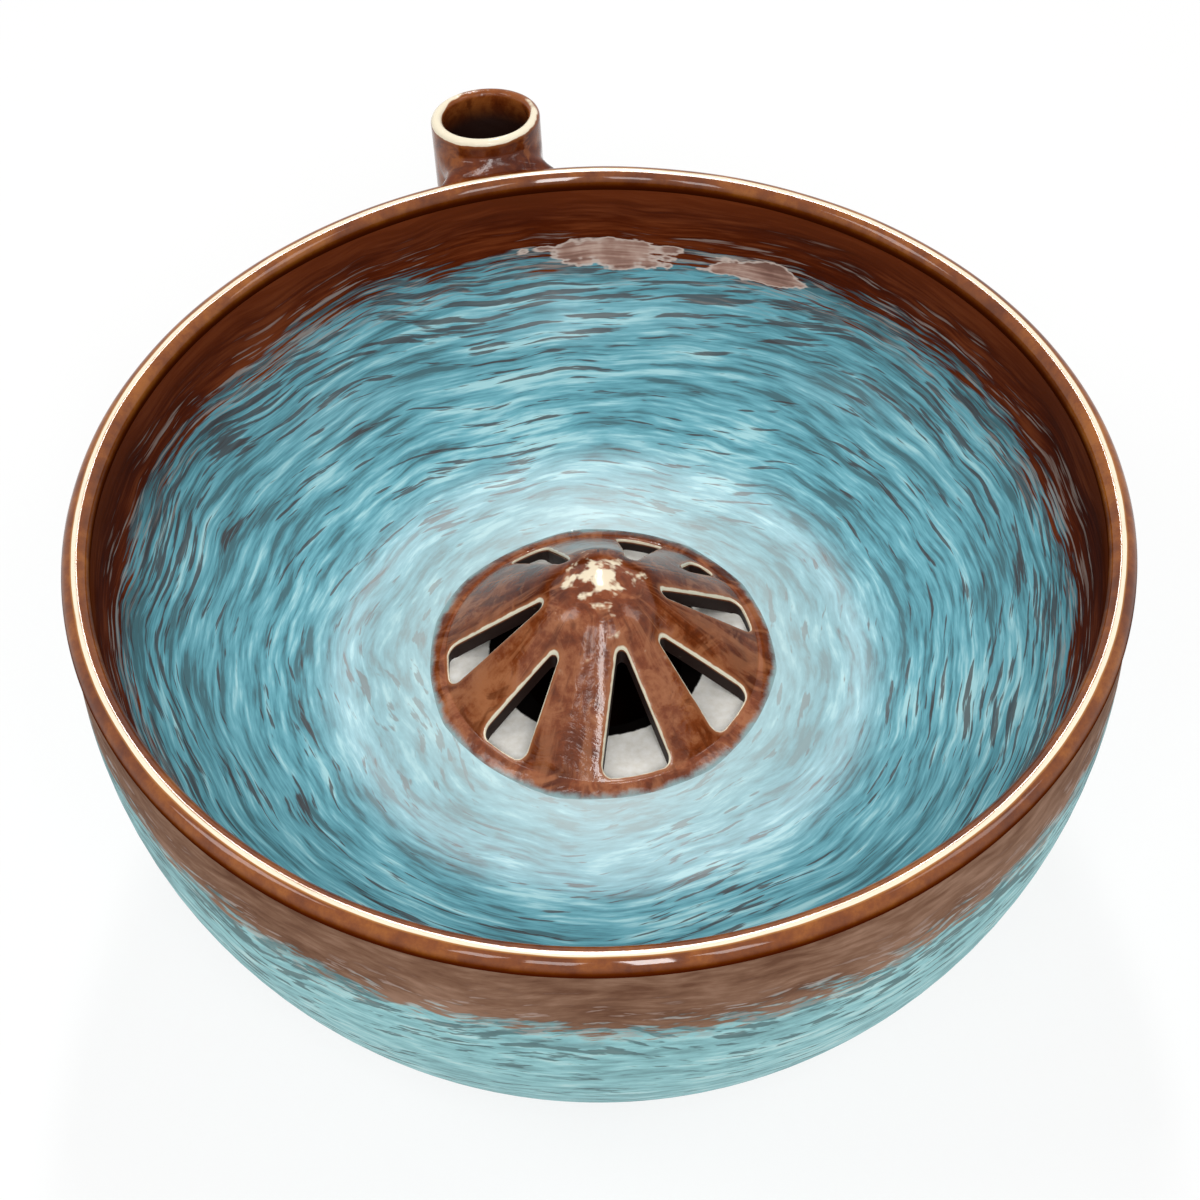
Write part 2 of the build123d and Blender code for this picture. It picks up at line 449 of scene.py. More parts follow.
def lip_grid(turns, sides):
    """Points of the lip: a circle of the bead's radius carried round the axis and cut flat just under the
    rim. Above the rim each point moves out and up by waves, in step with its height. Also gives how far
    each point has climbed the circle, from -1 at its foot to 1 at its crest."""
    turn = np.linspace(0, 2 * np.pi, turns, endpoint=False)[:, None]
    roll = np.linspace(0, 2 * np.pi, sides, endpoint=False)[None, :]
    height = np.maximum(lip_z + bead_radius * np.sin(roll), rim_z - lip_sink)
    free = (height - rim_z + lip_sink) / (lip_high.z - rim_z)
    out = hand_wobble(turn, (3, 0.10 * MM, 0.4), (7, 0.05 * MM, 2.1), (19, 0.02 * MM, 1.0))
    up = hand_wobble(turn, (2, 0.10 * MM, 1.2), (5, 0.06 * MM, 0.3), (23, 0.02 * MM, 2.6))
    radius = lip_radius + bead_radius * np.cos(roll) + out * free
    points = np.stack([radius * np.cos(turn), radius * np.sin(turn), height + up * free], -1)
    return points, np.sin(roll) + 0 * turn


lip_points, lip_climb = lip_grid(540, 44)
lip = weld_piece("rolled_lip", [(lip_points, True, True)], climb=lip_climb)

# %% [markdown]
# ## Drain dome
#
# This is the piece that took the potter most skill: a thin cone with eight wedge slots cut by hand, whose
# ribs swell softly between the cuts. Cutting slots out of a mesh with a Boolean leaves ragged triangles and
# sharp corners. Here the grid itself parts at the slots: each rib is a sector whose two sides follow the
# outlines of the slots beside it. Where there is no slot the sides of neighbouring ribs meet and weld.

# %% Describe the slots
slot_tip_radius = 0.9 * MM
slot_corner_radius = 1.4 * MM
slot_limit = dome_radius - 2.3 * MM
# Bearing of the tip in degrees and its distance in millimetres, then first and last bearing of the wide end.
hand_cut_slots = (
    (31.0, 19.5, 31.5, 34.5),
    (42.0, 8.8, 56.5, 67.5),
    (119.0, 8.8, 103.5, 112.5),
    (177.5, 10.1, 167.5, 179.5),
    (222.0, 12.9, 211.5, 224.5),
    (275.0, 11.4, 261.5, 280.5),
    (311.5, 12.6, 308.5, 324.5),
    (353.0, 10.7, 359.5, 369.5),
)


def polar(distance, bearing):
    """A point in plan, from its distance to the axis and its bearing in degrees."""
    return distance * np.array([math.cos(math.radians(bearing)), math.sin(math.radians(bearing))])


def slot_circles(cut):
    """The three circles that a wedge slot is wrapped round, as centre and radius: tip and two corners."""
    corner = slot_limit - slot_corner_radius
    tip = (polar(cut[1] * MM, cut[0]), slot_tip_radius)
    return tip, (polar(corner, cut[2]), slot_corner_radius), (polar(corner, cut[3]), slot_corner_radius)


def band_distance(x, y, first, second):
    """Plan distance to the band wrapped round two circles: beside its straight flanks it is taken square to
    them, and past them from the nearer circle."""
    (centre, radius), (far_centre, far_radius) = first, second
    span = far_centre - centre
    length = math.hypot(*span)
    along = ((x - centre[0]) * span[0] + (y - centre[1]) * span[1]) / length
    across = np.abs((y - centre[1]) * span[0] - (x - centre[0]) * span[1]) / length
    slant = (radius - far_radius) / length
    square = math.sqrt(1 - slant**2)
    place = square * along - slant * across
    by_first = np.hypot(along, across) - radius
    by_second = np.hypot(along - length, across) - far_radius
    by_flank = square * across + slant * along - radius
    return np.where(place < 0, by_first, np.where(place > square * length, by_second, by_flank))


def slot_distance(x, y):
    """Plan distance from a point outside all slots to the nearest one, with two flanks and a round end."""
    nearest = np.full(np.broadcast(x, y).shape, 1.0)
    bearing = np.degrees(np.arctan2(y, x))
    past_end = np.hypot(x, y) - slot_limit
    for cut in hand_cut_slots:
        tip, first, last = slot_circles(cut)
        flanks = np.minimum(band_distance(x, y, tip, first), band_distance(x, y, tip, last))
        behind = (bearing - cut[2]) % 360 < cut[3] - cut[2]
        nearest = np.minimum(nearest, np.where(behind & (past_end > -slot_tip_radius), past_end, flanks))
    return nearest


def arc_points(centre, radius, start, stop, count):
    """Points on a circle from one direction to another, taking the shorter way round."""
    begin = math.atan2(start[1], start[0])
    sweep = (math.atan2(stop[1], stop[0]) - begin + math.pi) % (2 * math.pi) - math.pi
    angle = begin + sweep * np.linspace(0, 1, count)
    return centre + radius * np.stack([np.cos(angle), np.sin(angle)], -1)


def slot_side(cut, side, radius):
    """Bearing of one side of a slot at each radius. The side runs round the tip, straight along the tangent
    of tip and corner, and round the corner to the slot's end; inwards of the tip it keeps the tip's
    bearing, and past the end the corner's. Side -1 is the first and 1 the last."""
    tip, first, last = slot_circles(cut)
    corner = last if side > 0 else first
    span = corner[0] - tip[0]
    length = math.hypot(*span)
    along = span / length
    slant = (tip[1] - corner[1]) / length
    normal = along * slant + side * math.sqrt(1 - slant**2) * np.array([-along[1], along[0]])
    round_tip = arc_points(*tip, -tip[0], normal, 40)
    round_corner = arc_points(*corner, normal, corner[0], 40)
    straight = round_tip[-1] + (round_corner[0] - round_tip[-1]) * np.linspace(0, 1, 60)[1:-1, None]
    side_line = np.concatenate([round_tip, straight, round_corner])
    bearing = np.unwrap(np.arctan2(side_line[:, 1], side_line[:, 0]))
    bearing += math.radians(cut[0]) - bearing[0]
    return np.interp(radius, np.hypot(side_line[:, 0], side_line[:, 1]), bearing)


print("slots", len(hand_cut_slots), "reaching", round(slot_limit / MM, 1), "mm from the axis")

# %% [markdown]
# ## The dome's surface
#
# The potter sets the small cone over the drain hole and smears its edge out into the floor, and wet fingers
# round the edges of the slots. Bevels on a plain cone would leave flat bands between the cuts. Here one
# formula gives the height of the outside for every place in plan: round cap, cone and skirt, lowered a
# little beside the slots. The grid of the ribs is laid over that height, so each rib swells by itself.

# %% Shape the dome
dome_wall = 3.0 * MM
apex_radius = 14.0 * MM
brim_inner = dome_radius - 1.6 * MM
brim_z = floor_z + 1.2 * MM
skirt_radius = dome_radius + 1.3 * MM
skirt_z = floor_z + 0.02 * MM
edge_roll = 0.5 * MM
rib_swell = 0.45 * MM
rib_reach = 2.4 * MM
tuck_depth = 0.03 * MM
least_ring_gap = 0.004 * MM
ring_slack = 0.003 * MM
apex_centre = apex_z - apex_radius
flank_angle = math.atan2(brim_z - apex_centre, brim_inner) + math.acos(
    apex_radius / math.hypot(brim_inner, brim_z - apex_centre)
)
flank_radius = apex_radius * math.cos(flank_angle)
flank_z = apex_centre + apex_radius * math.sin(flank_angle)
flank_slope = (brim_z - flank_z) / (brim_inner - flank_radius)


def cone_height(radius, cap_radius):
    """Height of a cone that ends in a round cap of the given radius, about the apex centre."""
    touch = cap_radius * math.cos(flank_angle)
    cap = apex_centre + np.sqrt(np.maximum(cap_radius**2 - radius**2, 0))
    flank = apex_centre + cap_radius * math.sin(flank_angle) + flank_slope * (radius - touch)
    return np.where(radius < touch, cap, flank)


def dome_top(x, y):
    """Height of the dome's outside: cone and skirt, lowered towards the slots so that the ribs swell between
    them, and rolled over by a quarter circle at the slots' edges."""
    radius = np.hypot(x, y)
    skirt = brim_z + (skirt_z - brim_z) * ease(radius, brim_inner, skirt_radius)
    height = np.where(radius < brim_inner, cone_height(radius, apex_radius), skirt)
    gap = np.maximum(slot_distance(x, y), 0)
    rolled = edge_roll - np.sqrt(edge_roll**2 - np.maximum(edge_roll - gap, 0) ** 2)
    return height - rib_swell * np.exp(-gap / rib_reach) - rolled


def dome_under(x, y):
    """Height of the dome's underside: the inner cone, down to the seat."""
    return np.maximum(cone_height(np.hypot(x, y), apex_radius - dome_wall), seat_z)


def dome_rows():
    """Distances of the dome's rings from the axis, closer together where a slot's tip or end turns."""
    turn_in = np.linspace(0, 1.0, 9) ** 2 * MM
    tips = [cut[1] * MM - slot_tip_radius + turn_in for cut in hand_cut_slots]
    ends = slot_limit - np.linspace(0, 1.4, 13) ** 2 * MM
    rings = np.concatenate([np.linspace(0, slot_limit, 34), *tips, ends])
    rings = np.unique(np.round(rings / MM, 3)) * MM
    return rings[np.concatenate([[True], np.diff(rings) > least_ring_gap])]


def rib_columns(radius, first, last, edge_steps, middle_steps):
    """Bearings across a rib at each radius: a few at set distances from both edges, then an even spread."""
    width = np.maximum((last - first) * radius, 4 * edge_steps[-1])
    shares = edge_steps[None, :] / width[:, None]
    inner = np.linspace(0, 1, middle_steps + 2)[None, 1:-1]
    middle = shares[:, -1:] + (1 - 2 * shares[:, -1:]) * inner
    spread = np.concatenate([shares, middle, 1 - shares[:, ::-1]], 1)
    return first[:, None] + (last - first)[:, None] * spread


def dome_heights(x, y, top_rows):
    """Heights of a patch whose first rows lie on the outside and whose last rows lie on the underside. The
    three rows between them tuck the skirt's edge under the floor and lead down to the seat."""
    z = np.concatenate([dome_top(x, y)[:top_rows], dome_under(x, y)[top_rows:]])
    z[top_rows : top_rows + 3] = np.array([floor_z, floor_z, seat_z])[:, None] - tuck_depth
    return z


def dome_patches():
    """Patches of the dome: for each rib its outside, skirt and underside, and for each slot its two side
    walls, its end wall and the bridge beyond its end."""
    rings = dome_rows()
    skirt = np.linspace(slot_limit, skirt_radius, 22)[1:]
    tuck = [skirt_radius, dome_radius, dome_radius]
    radius = np.concatenate([rings, skirt, tuck, rings[::-1]])
    bridge_radius = np.concatenate([[slot_limit], skirt, tuck, [slot_limit]])
    edge_steps = np.array([0, 0.08, 0.18, 0.3, 0.45, 0.65, 0.95]) * MM
    levels = np.linspace(0, 1, 6)[:, None, None]
    patches = []
    for cut, following in zip(hand_cut_slots, hand_cut_slots[1:] + hand_cut_slots[:1]):
        whole_turn = 2 * math.pi * (following[0] < cut[0])
        first = slot_side(cut, 1, radius)
        last = slot_side(following, -1, radius) + whole_turn
        bearing = rib_columns(radius, first, last, edge_steps, 12)
        x = radius[:, None] * np.cos(bearing)
        y = radius[:, None] * np.sin(bearing)
        rib = np.stack([x, y, dome_heights(x, y, len(rings) + len(skirt))], -1)
        patches.append((rib, False, False))
        for side, near in ((rib[:, 0], cut), (rib[:, -1], following)):
            cut_rows = slot_rows(near, rings)
            outer = side[cut_rows]
            inner = side[::-1][cut_rows]
            patches.append((outer + (inner - outer) * levels, False, False))
        across = np.radians(np.linspace(cut[2], cut[3], 14))[None, :]
        x = bridge_radius[:, None] * np.cos(across)
        y = bridge_radius[:, None] * np.sin(across)
        bridge = np.stack([x, y, dome_heights(x, y, 1 + len(skirt))], -1)
        patches.append((bridge, False, False))
        patches.append((bridge[0] + (bridge[-1] - bridge[0]) * levels, False, False))
    return patches


def slot_rows(cut, rings):
    """Numbers of the rings that a slot's walls span, from the ring at its tip to the ring at its end."""
    tip = cut[1] * MM - slot_tip_radius
    return np.flatnonzero((rings > tip - ring_slack) & (rings < slot_limit + ring_slack))


dome = weld_piece("pierced_dome", dome_patches())
dome_x, dome_y, dome_z = mesh_points(dome.data).T
dome_gap = np.maximum(slot_distance(dome_x, dome_y), 0)
dome_depth = np.maximum(dome_top(dome_x, dome_y) - dome_z, 0)
keep_values(dome.data, "edge_distance", np.hypot(dome_gap, 3 * dome_depth) / MM)
# The depth below the outside, which the finish turns into painted shade.
keep_values(dome.data, "depth", dome_depth / MM)

# %% [markdown]
# ## Spout
#
# The spout is a pulled tube that leaves the wall, bends up and stands behind the lip. A potter scores both
# parts and smears slip into the joint, so the tube widens where it nears the bowl. A plain swept tube would
# meet the wall in a hard corner. This profile is carried along the tube's line, and each point moves away
# from that line by the amount that a smooth union of tube and bowl would give.

# %% Make the spout
spout_radius = spout_high.x
spout_lean = math.radians(8)
mouth_round = 0.85 * MM
spout_run = 24 * MM
spout_bend_radius = 20 * MM
spout_bend = math.radians(60)
spout_wall = 2.0 * MM
joint_blend = 9.0 * MM
joint_reach = 9.0 * MM
joint_sink = 0.6 * MM
# Distances over which the blend begins below the mouth and behind the lip's crest, and then narrows again.
blend_begins = (1 * MM, 6 * MM)
crest_cleared = (0.4 * MM, 3 * MM)
blend_narrows = (7 * MM, 14 * MM)
blend_loss = 0.7
least_blend = 0.01
# Shares of a point and its two neighbours on each side, which smear the clay smooth round the tube.
smear = np.array([1, 2, 3, 2, 1]) / 9
mouth_reach = spout_radius - mouth_round
mouth_y = spout_high.y - mouth_reach * math.cos(spout_lean) - mouth_round * (1 - math.sin(spout_lean))
mouth_z = spout_high.z - mouth_reach * math.sin(spout_lean) - mouth_round * (1 - math.cos(spout_lean))
bend_end = spout_run + spout_bend_radius * spout_bend


def spout_centre(travel):
    """Middle of the tube and its lean from upright, a distance below the mouth: a straight run, an arc that
    turns towards the bowl, and a straight end."""
    run = np.minimum(travel, spout_run)
    lean = spout_lean + np.clip(travel - spout_run, 0, spout_bend_radius * spout_bend) / spout_bend_radius
    tail = np.maximum(travel - bend_end, 0)
    y = mouth_y - run * math.sin(spout_lean) + spout_bend_radius * (np.cos(lean) - math.cos(spout_lean))
    z = mouth_z - run * math.cos(spout_lean) - spout_bend_radius * (np.sin(lean) - math.sin(spout_lean))
    return y - tail * np.sin(lean), z - tail * np.cos(lean), lean


def spout_point(travel, radius, turn):
    """A point at a distance from the tube's line; turn 0 faces the bowl's axis."""
    y, z, lean = spout_centre(travel)
    toward = radius * np.cos(turn)
    parts = (radius * np.sin(turn), y - toward * np.cos(lean), z + toward * np.sin(lean))
    return np.stack(np.broadcast_arrays(*parts), -1)


def bowl_distance(point):
    """Distance of a point from the outside of the bowl: the lip's bead or the belly's sphere, the nearer."""
    out = np.hypot(point[..., 0], point[..., 1])
    bead = np.hypot(out - lip_radius, point[..., 2] - lip_z) - bead_radius
    belly = np.hypot(out, point[..., 2] - belly_z) - belly_radius
    return np.minimum(bead, np.where(point[..., 2] < rim_z, belly, bead))


def wall_travel(radius, turn):
    """Distance below the mouth at which a line along the tube's straight end reaches the middle of the bowl's
    wall: the nearer root of the line's quadratic with the wall's sphere."""
    start = spout_point(np.full_like(turn, bend_end), radius, turn) - np.array([0, 0, belly_z])
    lean = spout_lean + spout_bend
    way = np.array([0, -math.sin(lean), -math.cos(lean)])
    half = start @ way
    return bend_end - half - np.sqrt(half**2 - (start**2).sum(-1) + wall_middle_radius**2)


def joint_swell(travel, turn):
    """How far clay pressed into the joint stands out from the tube. Tube and bowl join as in a smooth
    union: where their distances differ by less than a blend width, the nearer one is lessened by the square
    of what is left of the width over four widths, and the joint's surface is where the sum is nought. It is
    looked for outwards along each ray from the tube. A ray that stays in the clay ends just within the
    bowl. The width shrinks to nought at the mouth and at the crest of the lip, which stay as they are.
    Below the lip it is narrower, and the bowl is taken a little smaller, so that the clay meets the wall in
    a clean line."""
    reach = np.linspace(0, joint_reach, 90)[:, None, None]
    point = spout_point(travel, spout_radius + reach, turn)
    below_lip = ease(travel, *blend_narrows)
    bowl = bowl_distance(point) + joint_sink * below_lip
    behind_crest = np.hypot(point[..., 0], point[..., 1]) - lip_radius
    clay = ease(behind_crest, *crest_cleared) * ease(travel, *blend_begins) * (1 - blend_loss * below_lip)
    width = joint_blend * np.maximum(clay, least_blend)
    closeness = np.clip(width - np.abs(reach - bowl), 0, None)
    union = np.minimum(reach, bowl) - closeness**2 / (4 * width)
    outside = (union >= 0) | (bowl < joint_sink * (below_lip - 1))
    first = np.argmax(outside, 0)[None]
    before = np.maximum(first - 1, 0)
    here, past = np.take_along_axis(union, before, 0), np.take_along_axis(union, first, 0)
    part = np.clip(-here / np.where(past > here, past - here, 1), 0, 1)
    swell = ((before + part * (first > 0)) * joint_reach / (len(reach) - 1))[0]
    return sum(weight * np.roll(swell, shift, 1) for shift, weight in zip(range(-2, 3), smear))


def spout_grid(rings, turns):
    """Closed tube: up the outside from the wall, over the round mouth, and down the bore to the wall again.
    Also gives each point's distance from the mouth's crest, made larger away from the bowl so that the rim's
    cream, partly a painted highlight, lies on the side towards the bowl, and its depth in the bore, which the
    finish darkens as painted shade."""
    turn = np.linspace(0, 2 * np.pi, turns, endpoint=False)[None, :]
    rim = np.linspace(0, np.pi, 13)[1:-1, None]
    down = np.linspace(0, 1, rings)[:, None]
    half_wall = spout_wall / 2
    outer_end = wall_travel(spout_radius, turn)
    outer_travel = half_wall + (outer_end - half_wall) * down[::-1]
    outer = spout_point(outer_travel, spout_radius + joint_swell(outer_travel, turn), turn)
    rim_travel = half_wall * (1 - np.sin(rim)) + 0 * turn
    mouth = spout_point(rim_travel, spout_radius - half_wall * (1 - np.cos(rim)), turn)
    bore_end = wall_travel(spout_radius - spout_wall, turn)
    bore_travel = half_wall + (bore_end - half_wall) * down
    bore = spout_point(bore_travel, spout_radius - spout_wall, turn)
    travel = np.concatenate([outer_travel, rim_travel, bore_travel])
    depth = np.concatenate([0 * outer_travel, 0 * rim_travel, bore_travel])
    # The turn term shifts the cream towards the side facing the bowl: partly glaze breaking on the rim,
    # partly a painted highlight.
    edge = travel / MM + 0.5 * (1 - np.cos(turn + 0.6))
    return np.concatenate([outer, mouth, bore]), edge, depth / MM


spout_points, spout_edge_and_highlight, spout_depth = spout_grid(110, 192)
spout = weld_piece("pulled_spout", [(spout_points, True, True)], edge_distance=spout_edge_and_highlight, depth=spout_depth)

# %% [markdown]
# ## Amber glaze
#
# Lip, dome and spout carry the same iron glaze. It is dark where it lies thick, glows amber where it runs
# thin, and breaks to cream on sharp edges. On the lip's crest and the spout's rim the cream is partly a
# painted highlight, round the top of the dome it is a painted highlight, and the lip's foot, the bore and the
# slots are darkened as painted shade. The pieces know how far each point is from such an edge, so the finish
# only has to turn that distance into a colour, with a little noise to fray the line. The lip's shine is a
# clear coat that stops short of its foot, where it would only mirror the white room at a flat angle.

# %% Mix the amber glaze
# Cream where the glaze breaks thin on edges; on the lip's crest and the spout's rim it is partly a painted
# highlight.
cream = glaze_tone(238, 226, 200)
crown_highlight_cream = glaze_tone(240, 226, 196)
# A dark brown that is painted shade: deep in the bore and the slots, in the drain hole and in the hidden
# chamber.
painted_shade_brown = glaze_tone(30, 9, 3)
painted_shadow_black = glaze_tone(12, 9, 8)


def place_parts(place):
    """The three coordinates of a place and its distance from the bowl's axis."""
    x = place.node("ShaderNodeSeparateXYZ", {}, {"Vector": place}, "X")
    y, z = x.other("Y"), x.other("Z")
    return x, y, z, (x * x + y * y) ** 0.5


def stroke_space(around, across, x, y, out, climb):
    """The turned and stretched place: around is strokes per unit of bearing, across is strokes per metre."""
    return vector(x / out * around, y / out * around, climb * across)


def amber_base(place, dark, middle, light):
    """Mottled iron glaze, and the fine one of the two noises that it is mottled by."""
    mottle = noise(place, 230, 5, 0.68)
    drift = noise(place, 70, 2, 0.5)
    return ramp(mottle * 0.6 + drift * 0.4, (0.38, dark), (0.5, middle), (0.62, light)), mottle


def amber_edges(name, tones, edge_width, bore, shine):
    """Iron glaze on a piece with edges: cream on the edges, a warm halo beside them, and painted shade that
    darkens it in the depth. On the dome a painted highlight of cream lies round the top, and the turquoise of
    the floor creeps up its skirt."""
    material, shader, place = new_finish(name)
    x, y, _, out = place_parts(place)
    colour, mottle = amber_base(place, *tones)
    drag = noise(place, 150, 3, 0.6, 1.6)
    colour = blend(step(drag, 0.5, 0.66) * 0.7, colour, tones[2])
    colour = blend(step(drag, 0.46, 0.34) * 0.6, colour, tones[0])
    flow = noise(vector(x / out * 7, y / out * 7, out * 70), 1.0, 4, 0.6, 0.5)
    on_dome = step(out, dome_radius + 6 * MM, dome_radius + 4 * MM)
    along_ribs = step(out, 5 * MM, 9 * MM) * on_dome
    colour = blend(step(flow, 0.52, 0.64) * along_ribs * 0.55, colour, tones[2])
    colour = blend(step(flow, 0.46, 0.34) * along_ribs * 0.6, colour, tones[0])
    fray = noise(place, 480, 2, 0.5)
    edge = place.node("ShaderNodeAttribute", {"attribute_name": "edge_distance"}, {}, "Fac")
    depth = place.node("ShaderNodeAttribute", {"attribute_name": "depth"}, {}, "Fac")
    frayed = edge + (fray - 0.5) * 0.4
    colour = blend(step(frayed, edge_width + 0.9, edge_width) * 0.8, colour, tones[2])
    # Painted shade: the glaze turns dark brown with depth in the bore and on the slot walls and underside.
    colour = blend(step(depth, 0.1, bore), colour, painted_shade_brown)
    colour = blend(step(frayed, edge_width + 0.12, edge_width - 0.08), colour, cream)
    # Painted highlight: irregular cream patches round the top of the dome.
    highlight_crown = step(out, 8 * MM, 1 * MM)
    crown_highlight = step(fray * 0.5 + drag * 0.5 + highlight_crown * 0.24, 0.62, 0.72) * step(out, 16 * MM, 8 * MM)
    colour = blend(crown_highlight * 0.9, colour, crown_highlight_cream)
    wet_edge = out + (mottle - 0.5) * 3.0 * MM
    skirt = step(wet_edge, dome_radius - 0.2 * MM, dome_radius + 1.2 * MM) * on_dome
    colour = blend(skirt, colour, glaze_tone(132, 158, 160))
    shader.inputs["Specular IOR Level"].default_value = shine
    dull = step(depth, 0.1, bore) * 0.5
    finish_shader(shader, colour, 0.06 + mottle * 0.08 + dull, mottle * 0.4 + drag * 0.6, 0.16 * MM)
    return material


def amber_lip(name):
    """Iron glaze on the lip: darkened at its foot on both sides as painted shade, amber above, and cream
    along the crest that is partly glaze breaking thin and partly a painted highlight.
    """
    material, shader, place = new_finish(name)
    colour, mottle = amber_base(place, *lip_tones)
    fray = noise(place, 130, 1, 0.5)
    climb = place.node("ShaderNodeAttribute", {"attribute_name": "climb"}, {}, "Fac") + (fray - 0.5) * 0.02
    # Painted shade: the lower part of the bead, which faces down, is darkened.
    colour = blend(step(climb, 0.7, -0.1), colour, glaze_tone(68, 20, 2))
    # Along the crest an amber halo and a cream line: partly glaze breaking thin, partly a painted highlight.
    colour = blend(step(climb, 0.955, 0.988), colour, glaze_tone(176, 118, 56))
    colour = blend(step(climb, 0.984, 0.992), colour, cream)
    clear_coat(shader, step(climb, 0.2, 0.6) * 0.85, 0.05)
    finish_shader(shader, colour, 0.3 + mottle * 0.2, mottle * 0.6 + fray * 0.4, 0.03 * MM)
    return material


lip_tones = glaze_tones((98, 44, 8), (124, 62, 12), (152, 86, 24))
lip_finish = amber_lip("amber_lip_glaze")
dome_tones = glaze_tones((86, 36, 12), (122, 58, 26), (164, 102, 66))
spout_tones = glaze_tones((76, 27, 7), (108, 48, 15), (142, 78, 33))
dome_finish = amber_edges("amber_dome_glaze", dome_tones, edge_width=0.23, bore=0.6, shine=0.28)
spout_finish = amber_edges("amber_spout_glaze", spout_tones, edge_width=0.85, bore=6.0, shine=0.22)


def dress(piece, material, *nodes):
    """Give a new piece its finish and its ride, and hide the solids that it stands for."""
    piece.data.materials.append(material)
    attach(piece, "root")
    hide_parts(*nodes)


dress(lip, lip_finish, "lip_roll")
dress(dome, dome_finish, "drain_dome")
dress(spout, spout_finish, "spout_tube", "spout_saddle")
print("amber pieces dressed")

# %% [markdown]
# ## Brushed turquoise over brown
#
# Both walls are brown at the lip and turquoise below, laid on with a loaded brush while the bowl turned.
# Noise alone is too even in all directions. Here each point is described by its bearing and by its climb
# along the wall, stretched so that one unit is a long stroke round the bowl but only a hair across it.
# Coarse noise in that stretched space is the load of the brush, fine noise is the drag of its bristles, and
# a third one leaves the dark dashes where the brush skipped. A thin clear coat gives the shine.

# %% Mix the brushed glaze
# Dabs of milky glaze high on the back wall, which also stand in for a lamp's reflection there.
# Bearing from the front in degrees, height above the floor of the basin, half length and half height in mm.
milky_reflection_dabs = (
    (166.0, 21.4, 10.5, 2.3),
    (146.0, 20.8, 8.5, 1.7),
)
# A painted shadow on the ledge under the dome: a dark disc that stands in for the shade round the drain hole,
# and how far its middle lies behind the axis.
shadow_pool_radius = 17.8 * MM
shadow_pool_shift = 3.0 * MM


def milky_reflection_spread(x, y, z, bearing, height, half_length, half_height):
    """Distance from the middle of a dab of milky glaze that also stands in for a reflection, counted so that
    it is 1 at the dab's edge.
    """
    sine, cosine = math.sin(math.radians(bearing)), math.cos(math.radians(bearing))
    along = (x * cosine + y * sine) / (half_length * MM)
    rise = (z - floor_z - height * MM) / (half_height * MM)
    other_side = step(x * sine - y * cosine, 2 * MM, 0.0) * 9
    return (along * along + rise * rise) ** 0.5 + other_side


def brushed_glaze(name, brush, rag, edge_z, edge_lift, browns, blues, dash_tone, extras):
    """Brown above an edge and brushed turquoise below it, in strokes of which there are more with a larger
    brush number. The edge stands at edge_z in front and behind, and edge_lift higher at the sides, and rag
    says how far the strokes tear it. The function extras adds what only one of the walls has."""
    material, shader, place = new_finish(name)
    x, y, z, out = place_parts(place)
    waver = noise(place, 34, 2, 0.5)
    drift = noise(place, 14, 1, 0.5)
    climb = out + z + (waver - 0.5) * 9 * MM
    bristle = noise(stroke_space(5.0 * brush, 450, x, y, out, climb), 1.0, 4, 0.6)
    fine = noise(stroke_space(9.0 * brush, 1250, x, y, out, climb), 1.0, 3, 0.55)
    dash = noise(stroke_space(7.0 * brush, 820, x, y, out, climb + (drift - 0.5) * 30 * MM), 1.0, 3, 0.55)
    brown = ramp(bristle * 0.4 + fine * 0.3 + waver * 0.3, *zip((0.4, 0.5, 0.6), browns))
    wash = bristle * 0.52 + fine * 0.24 + waver * 0.14 + drift * 0.1
    blue = ramp(wash, *zip((0.41, 0.47, 0.53, 0.6), blues))
    side = x / out
    height = (z - edge_z - side * side * edge_lift) / MM
    level = height + ((bristle - 0.5) * 18 + (drift - 0.5) * 8) * rag + (fine - 0.5) * 14
    colour = blend(step(level, -1.6, 1.6), blue, brown)
    crowd = step(level, -14.0, -1.0) * 0.12 + (waver - 0.5) * 0.2
    dashes = step(dash + crowd, 0.59, 0.65) * step(level, 2.0, -2.0)
    colour = blend(dashes * 0.8, colour, dash_tone)
    near_edge = step(level, -7.0, -2.0) * step(level, 6.0, 1.0)
    wisps = step(fine, 0.46, 0.38) * near_edge
    colour = blend(wisps * 0.5, colour, glaze_tone(176, 154, 143))
    colour = extras(colour, place, x, y, z, out, bristle, fine)
    under_dome = step(out, dome_radius, dome_radius - 0.3 * MM) * step(z, seat_z - 5 * MM, seat_z - 4 * MM)
    clear_coat(shader, (0.08 + step(level, 4.0, -4.0) * 0.12) * (1 - under_dome), 0.2)
    finish_shader(shader, colour, 0.3 + fine * 0.2, bristle * 0.6 + fine * 0.4, 0.04 * MM)
    return material


basin_browns = glaze_tones((56, 15, 3), (82, 29, 8), (114, 53, 25))
# The outer wall's browns are greyed towards taupe: brown glaze with a painted reflection of the white room
# over it.
wall_sheened_browns = glaze_tones((100, 68, 51), (123, 91, 72), (145, 113, 94))
basin_blues = glaze_tones((74, 110, 118), (92, 152, 165), (114, 176, 189), (164, 211, 217))
wall_blues = glaze_tones((112, 154, 158), (130, 179, 184), (146, 196, 200), (176, 212, 213))


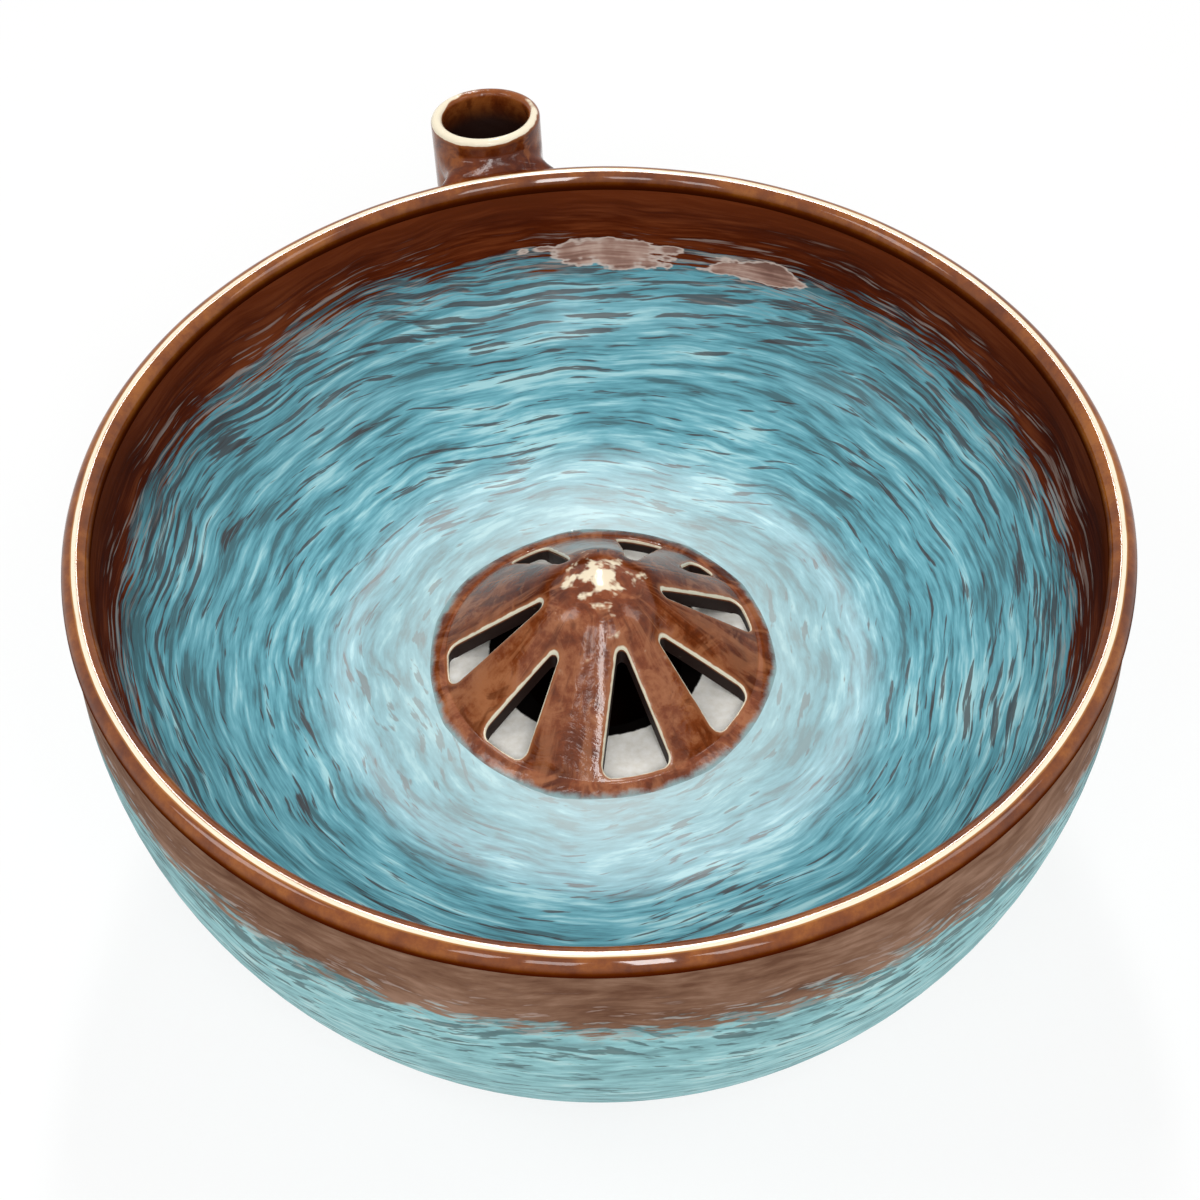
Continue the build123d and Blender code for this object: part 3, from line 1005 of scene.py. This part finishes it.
def basin_extras(colour, place, x, y, z, out, bristle, fine):
    """Milky dabs high on the wall that also stand in for a reflection, an amber band under the lip and a pale
    floor by the dome, both painted reflections. Under the dome the ledge is bare pale clay with a painted
    shadow round the drain hole, and the drain hole and the underside are darkened as painted shade."""
    # Painted reflection: an amber band just under the lip inside.
    colour = blend(step(z, lip_z - 8 * MM, lip_z - 1 * MM) * 0.6, colour, glaze_tone(118, 50, 17))
    curd = noise(place, 150, 3, 0.6)
    milky_reflection_tones = glaze_tones((108, 68, 56), (150, 112, 98), (194, 164, 150))
    milky_reflection_colour = ramp(fine * 0.5 + curd * 0.5, *zip((0.38, 0.5, 0.62), milky_reflection_tones))
    for dab in milky_reflection_dabs:
        spread = milky_reflection_spread(x, y, z, *dab) + (bristle - 0.5) * 1.2 + (curd - 0.5) * 1.7
        colour = blend(step(spread, 1.08, 0.98) * 0.8, colour, glaze_tone(212, 190, 178))
        colour = blend(step(spread, 0.97, 0.84) * 0.9, colour, milky_reflection_colour)
    # Painted reflection: the floor turns pale round the dome, where the lamp behind the bowl is mirrored.
    colour = blend(step(out, 52 * MM, 28 * MM) * 0.5, colour, glaze_tone(200, 218, 218))
    grain = noise(place, 900, 2, 0.6)
    clay = ramp(grain, (0.3, glaze_tone(236, 232, 222)), (0.7, glaze_tone(250, 248, 242)))
    # Painted shadow: the inner part of the ledge turns near black.
    behind = y - shadow_pool_shift
    from_shadow_pool = (x * x + behind * behind) ** 0.5 + (grain - 0.5) * 0.4 * MM
    clay = blend(step(from_shadow_pool, shadow_pool_radius + 0.15 * MM, shadow_pool_radius - 0.15 * MM), clay, painted_shadow_black)
    colour = blend(step(out, dome_radius + 0.1 * MM, dome_radius - 0.3 * MM), colour, clay)
    # Painted shade: the drain hole's wall and the basin's underside turn dark brown.
    return blend(step(z, seat_z - 0.1 * MM, seat_z - 0.5 * MM), colour, painted_shade_brown)


def wall_extras(colour, place, x, y, z, out, bristle, fine):
    """The foot is bare clay where it stands, and the hidden chamber is darkened as painted shade."""
    grain = noise(place, 700, 3, 0.6)
    clay = ramp(grain, (0.3, glaze_tone(186, 160, 128)), (0.7, glaze_tone(216, 194, 164)))
    colour = blend(step(z, 3.2 * MM, 2.6 * MM), colour, clay)
    # Painted shade: the inside of the hidden chamber turns dark brown.
    from_centre = (out * out + (z - belly_z) * (z - belly_z)) ** 0.5
    hidden = step(from_centre, belly_radius - 0.9 * MM, belly_radius - 1.2 * MM) * step(z, 6 * MM, 7 * MM)
    return blend(hidden, colour, painted_shade_brown)


def dress_node(node, material):
    """Give a solid of the frame its finish."""
    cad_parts[node].material_slots[0].material = material


# Brush number and raggedness, then the height of the brown's edge and its lift at the sides.
basin_strokes = (0.7, 1.0, lip_z - 14 * MM, -2 * MM)
wall_strokes = (1.7, 0.6, lip_z - 14 * MM, 3 * MM)
basin_paint = (basin_browns, basin_blues, glaze_tone(68, 50, 48))
wall_paint = (wall_sheened_browns, wall_blues, glaze_tone(74, 98, 100))
basin_finish = brushed_glaze("basin_glaze", *basin_strokes, *basin_paint, basin_extras)
wall_finish = brushed_glaze("wall_glaze", *wall_strokes, *wall_paint, wall_extras)
dress_node("inner_basin", basin_finish)
dress_node("outer_bowl", wall_finish)
print("walls dressed")
